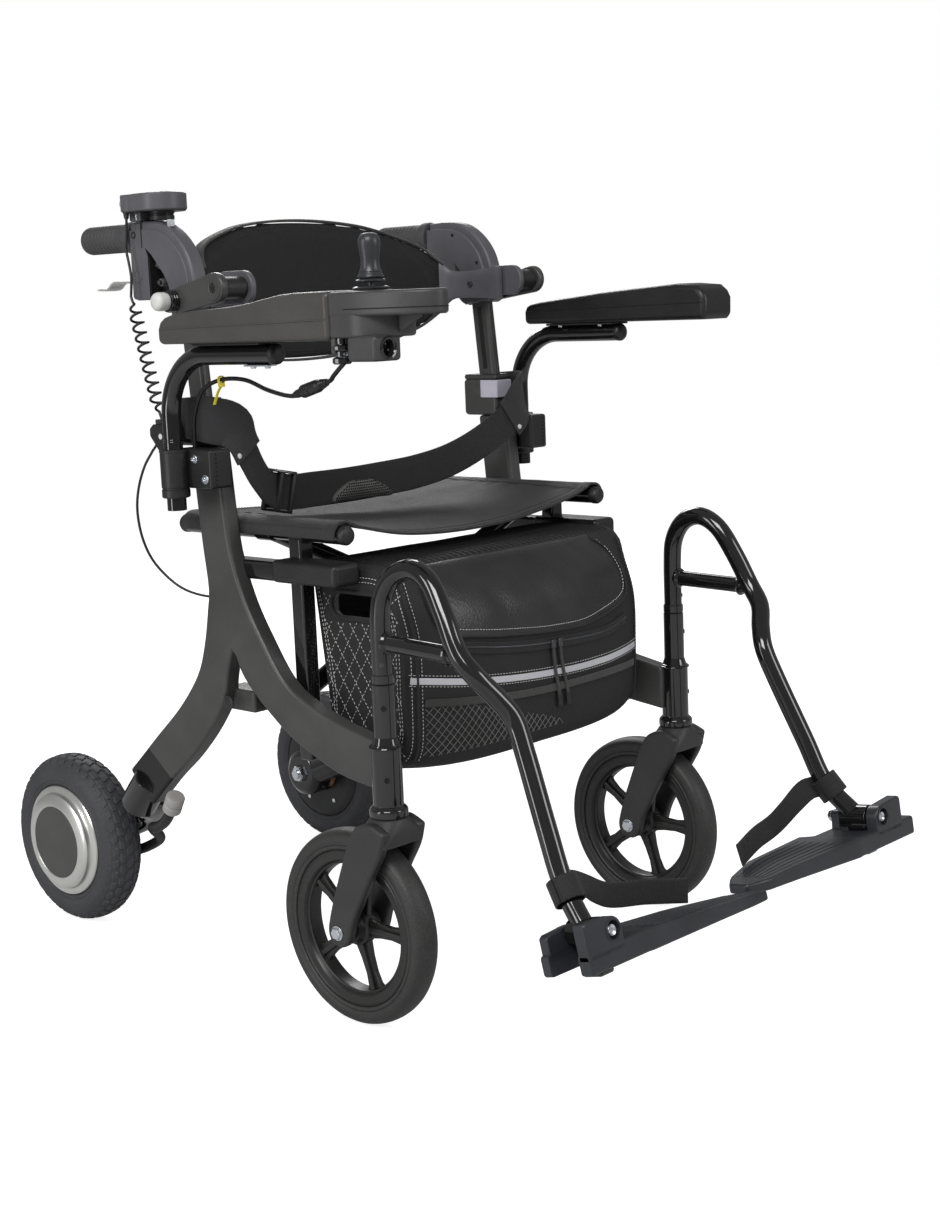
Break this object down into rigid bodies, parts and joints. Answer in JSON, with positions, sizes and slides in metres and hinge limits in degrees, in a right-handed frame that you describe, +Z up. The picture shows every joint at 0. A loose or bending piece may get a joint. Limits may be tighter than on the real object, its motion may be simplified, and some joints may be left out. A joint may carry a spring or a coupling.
{
  "type": "powered rollator wheelchair",
  "caption": "Folding powered rollator that doubles as a transport chair, with joystick, hub motor wheels, swing-away footrests, sling seat, belt and under-seat bag.",
  "frame": {"origin": "centre of the bounding box footprint, on the floor that the four wheels stand on", "axes": "+X to the rider's left, +Y towards the rear wheels (the rider faces -Y), +Z up"},
  "size_m": [0.603, 0.9393, 0.834],
  "materials": {
    "frame_paint": "satin",
    "black_gloss": "gloss",
    "black_plastic": "satin",
    "slate_plastic": "satin",
    "pad_foam": "matte",
    "grip_rubber": "matte",
    "wheel_tyre": "matte",
    "hub_alloy": "satin",
    "lever_alloy": "satin",
    "motor_core": "matte",
    "webbing": "matte",
    "seat_cloth": "matte",
    "leatherette": "satin",
    "button_grey": "gloss",
    "cord_sheath": "satin"
  },
  "bodies": {
    "side_r": {"side_frame_r": "frame_paint", "height_clamp_r": "frame_paint", "axle_arm_r": "black_gloss", "motor_stator_r": "motor_core", "armrest_bracket_r": "black_plastic", "bag_body": "leatherette", "battery_pack": "black_plastic", "motor_lead": "cord_sheath", "control_cord": "cord_sheath", "belt": "webbing"},
    "side_l": {"side_frame_l": "frame_paint", "height_clamp_l": "frame_paint", "axle_arm_l": "black_gloss", "motor_stator_l": "motor_core", "armrest_bracket_l": "black_plastic"},
    "brace_a": {"brace_a": "black_gloss"},
    "brace_b": {"brace_b": "black_gloss"},
    "seat_r": {"seat_rail_r": "black_gloss", "seat_fabric": "seat_cloth"},
    "seat_l": {"seat_rail_l": "black_gloss"},
    "backrest": {"backrest_clip_r": "slate_plastic", "backrest_band": "seat_cloth"},
    "backrest_far_end": {"backrest_clip_l": "slate_plastic"},
    "joystick_yoke": {"joystick_gimbal": "lever_alloy"},
    "joystick_stick": {"joystick_knob": "grip_rubber"},
    "power_key": {"power_button": "black_plastic"},
    "rear_wheel_r": {"rear_hub_r": "hub_alloy", "rear_tyre_r": "wheel_tyre"},
    "caster_r": {"caster_fork_r": "black_plastic"},
    "front_wheel_r": {"front_rim_r": "black_plastic", "front_tyre_r": "wheel_tyre"},
    "footrest_r": {"hanger_r": "black_gloss", "heel_strap_r": "webbing"},
    "footplate_r": {"footplate_r": "slate_plastic"},
    "handle_r": {"handle_r": "slate_plastic", "grip_r": "grip_rubber", "backrest_arm_r": "frame_paint", "control_box": "slate_plastic"},
    "brake_r": {"brake_lever_r": "lever_alloy"},
    "height_catch_r": {"height_button_r": "button_grey"},
    "armrest_r": {"armrest_tube_r": "black_gloss", "armrest_pad_r": "pad_foam", "joystick_housing": "slate_plastic", "joystick_boot": "grip_rubber", "joystick_lead": "cord_sheath"},
    "rear_wheel_l": {"rear_hub_l": "hub_alloy", "rear_tyre_l": "wheel_tyre"},
    "caster_l": {"caster_fork_l": "black_plastic"},
    "front_wheel_l": {"front_rim_l": "black_plastic", "front_tyre_l": "wheel_tyre"},
    "footrest_l": {"hanger_l": "black_gloss", "heel_strap_l": "webbing"},
    "footplate_l": {"footplate_l": "slate_plastic"},
    "handle_l": {"handle_l": "slate_plastic", "grip_l": "grip_rubber", "backrest_arm_l": "frame_paint"},
    "brake_l": {"brake_lever_l": "lever_alloy"},
    "height_catch_l": {"height_button_l": "button_grey"},
    "armrest_l": {"armrest_tube_l": "black_gloss", "armrest_pad_l": "pad_foam"}
  },
  "joints": [
    {"name": "frame_fold", "type": "hinge", "parent": "side_r", "child": "brace_a", "pos_m": [-0.197, -0.0053, 0.306], "axis": [0, -1, 0], "range_deg": [0, 31], "deforming": ["seat_fabric", "bag_body", "backrest_band", "belt"]},
    {"name": "brace_cross", "type": "hinge", "parent": "brace_a", "child": "brace_b", "pos_m": [0, -0.0053, 0.3965], "axis": [0, -1, 0], "range_deg": [-62.5, 0.5]},
    {"name": "side_l_pivot", "type": "hinge", "parent": "brace_b", "child": "side_l", "pos_m": [0.197, -0.0053, 0.306], "axis": [0, -1, 0], "range_deg": [-0.5, 31.5]},
    {"name": "seat_l_pivot", "type": "hinge", "parent": "brace_a", "child": "seat_l", "pos_m": [0.197, -0.0053, 0.487], "axis": [0, -1, 0], "range_deg": [-31.5, 0.5]},
    {"name": "seat_r_pivot", "type": "hinge", "parent": "brace_b", "child": "seat_r", "pos_m": [-0.197, -0.0053, 0.487], "axis": [0, -1, 0], "range_deg": [-0.5, 31.5]},
    {"name": "rear_wheel_spin_r", "type": "hinge", "parent": "side_r", "child": "rear_wheel_r", "pos_m": [-0.207, 0.3697, 0.1], "axis": [1, 0, 0], "continuous": true},
    {"name": "caster_swivel_r", "type": "hinge", "parent": "side_r", "child": "caster_r", "pos_m": [-0.232, -0.1893, 0.21], "axis": [0, 0, 1], "continuous": true},
    {"name": "front_wheel_spin_r", "type": "hinge", "parent": "caster_r", "child": "front_wheel_r", "pos_m": [-0.232, -0.1393, 0.1], "axis": [1, 0, 0], "continuous": true},
    {"name": "footrest_swing_r", "type": "hinge", "parent": "side_r", "child": "footrest_r", "pos_m": [-0.232, -0.1893, 0.353], "axis": [0, 0, -1], "range_deg": [-0.5, 90.5]},
    {"name": "footplate_flip_r", "type": "hinge", "parent": "footrest_r", "child": "footplate_r", "pos_m": [-0.2275, -0.4308, 0.153], "axis": [0, -0.9703, 0.2419], "range_deg": [0, 70], "deforming": ["heel_strap_r"]},
    {"name": "handle_height_r", "type": "slide", "parent": "side_r", "child": "handle_r", "axis": [0, 0.0958, 0.9954], "range_m": [-0.06, 0.06], "deforming": ["control_cord"]},
    {"name": "brake_lever_pull_r", "type": "hinge", "parent": "handle_r", "child": "brake_r", "pos_m": [-0.222, 0.1467, 0.742], "axis": [1, 0, 0], "range_deg": [0, 12], "stiffness_Nm_per_rad": 0.6, "springref_deg": -5.73},
    {"name": "height_button_press_r", "type": "slide", "parent": "side_r", "child": "height_catch_r", "axis": [-1, 0, 0], "range_m": [0, 0.0015], "stiffness_N_per_m": 400, "springref_m": -0.0005},
    {"name": "armrest_lift_r", "type": "slide", "parent": "side_r", "child": "armrest_r", "axis": [0, 0, 1], "range_m": [0, 0.07], "deforming": ["joystick_lead"]},
    {"name": "rear_wheel_spin_l", "type": "hinge", "parent": "side_l", "child": "rear_wheel_l", "pos_m": [0.207, 0.3697, 0.1], "axis": [1, 0, 0], "continuous": true},
    {"name": "caster_swivel_l", "type": "hinge", "parent": "side_l", "child": "caster_l", "pos_m": [0.232, -0.1893, 0.21], "axis": [0, 0, 1], "continuous": true},
    {"name": "front_wheel_spin_l", "type": "hinge", "parent": "caster_l", "child": "front_wheel_l", "pos_m": [0.232, -0.1393, 0.1], "axis": [1, 0, 0], "continuous": true},
    {"name": "footrest_swing_l", "type": "hinge", "parent": "side_l", "child": "footrest_l", "pos_m": [0.232, -0.1893, 0.353], "axis": [0, 0, 1], "range_deg": [-0.5, 90.5]},
    {"name": "footplate_flip_l", "type": "hinge", "parent": "footrest_l", "child": "footplate_l", "pos_m": [0.2275, -0.4308, 0.153], "axis": [0, 0.9903, -0.1392], "range_deg": [0, 70], "deforming": ["heel_strap_l"]},
    {"name": "handle_height_l", "type": "slide", "parent": "side_l", "child": "handle_l", "axis": [0, 0.0958, 0.9954], "range_m": [-0.061, 0.061]},
    {"name": "brake_lever_pull_l", "type": "hinge", "parent": "handle_l", "child": "brake_l", "pos_m": [0.222, 0.1467, 0.742], "axis": [1, 0, 0], "range_deg": [0, 12], "stiffness_Nm_per_rad": 0.6, "springref_deg": -5.73},
    {"name": "height_button_press_l", "type": "slide", "parent": "side_l", "child": "height_catch_l", "axis": [1, 0, 0], "range_m": [0, 0.0015], "stiffness_N_per_m": 400, "springref_m": -0.0005},
    {"name": "armrest_lift_l", "type": "slide", "parent": "side_l", "child": "armrest_l", "axis": [0, 0, 1], "range_m": [0, 0.07]},
    {"name": "backrest_flip", "type": "hinge", "parent": "handle_r", "child": "backrest", "pos_m": [-0.208, 0.0137, 0.734], "axis": [1, 0, 0], "range_deg": [0, 90]},
    {"name": "backrest_flip_far", "type": "hinge", "parent": "handle_l", "child": "backrest_far_end", "pos_m": [0.208, 0.0137, 0.734], "axis": [1, 0, 0], "range_deg": [-0.5, 90.5]},
    {"name": "joystick_side_tilt", "type": "hinge", "parent": "armrest_r", "child": "joystick_yoke", "pos_m": [-0.266, -0.2338, 0.704], "axis": [0, 1, 0], "range_deg": [-16, 16], "stiffness_Nm_per_rad": 0.12, "deforming": ["joystick_boot"]},
    {"name": "joystick_fore_tilt", "type": "hinge", "parent": "joystick_yoke", "child": "joystick_stick", "pos_m": [-0.266, -0.2338, 0.704], "axis": [1, 0, 0], "range_deg": [-16, 16], "stiffness_Nm_per_rad": 0.12, "deforming": ["joystick_boot"]},
    {"name": "power_press", "type": "slide", "parent": "handle_r", "child": "power_key", "axis": [0, -1, 0], "range_m": [0, 0.0015], "stiffness_N_per_m": 150}
  ],
  "couplings": [
    {"joint": "brace_cross", "follows": "frame_fold", "ratio": -2},
    {"joint": "side_l_pivot", "follows": "frame_fold", "ratio": 1},
    {"joint": "seat_l_pivot", "follows": "frame_fold", "ratio": -1},
    {"joint": "seat_r_pivot", "follows": "frame_fold", "ratio": 1},
    {"joint": "footrest_swing_r", "follows": "frame_fold", "ratio": 2.9032},
    {"joint": "footrest_swing_l", "follows": "frame_fold", "ratio": 2.9032},
    {"joint": "handle_height_l", "follows": "handle_height_r", "ratio": 1},
    {"joint": "backrest_flip_far", "follows": "backrest_flip", "ratio": 1}
  ]
}
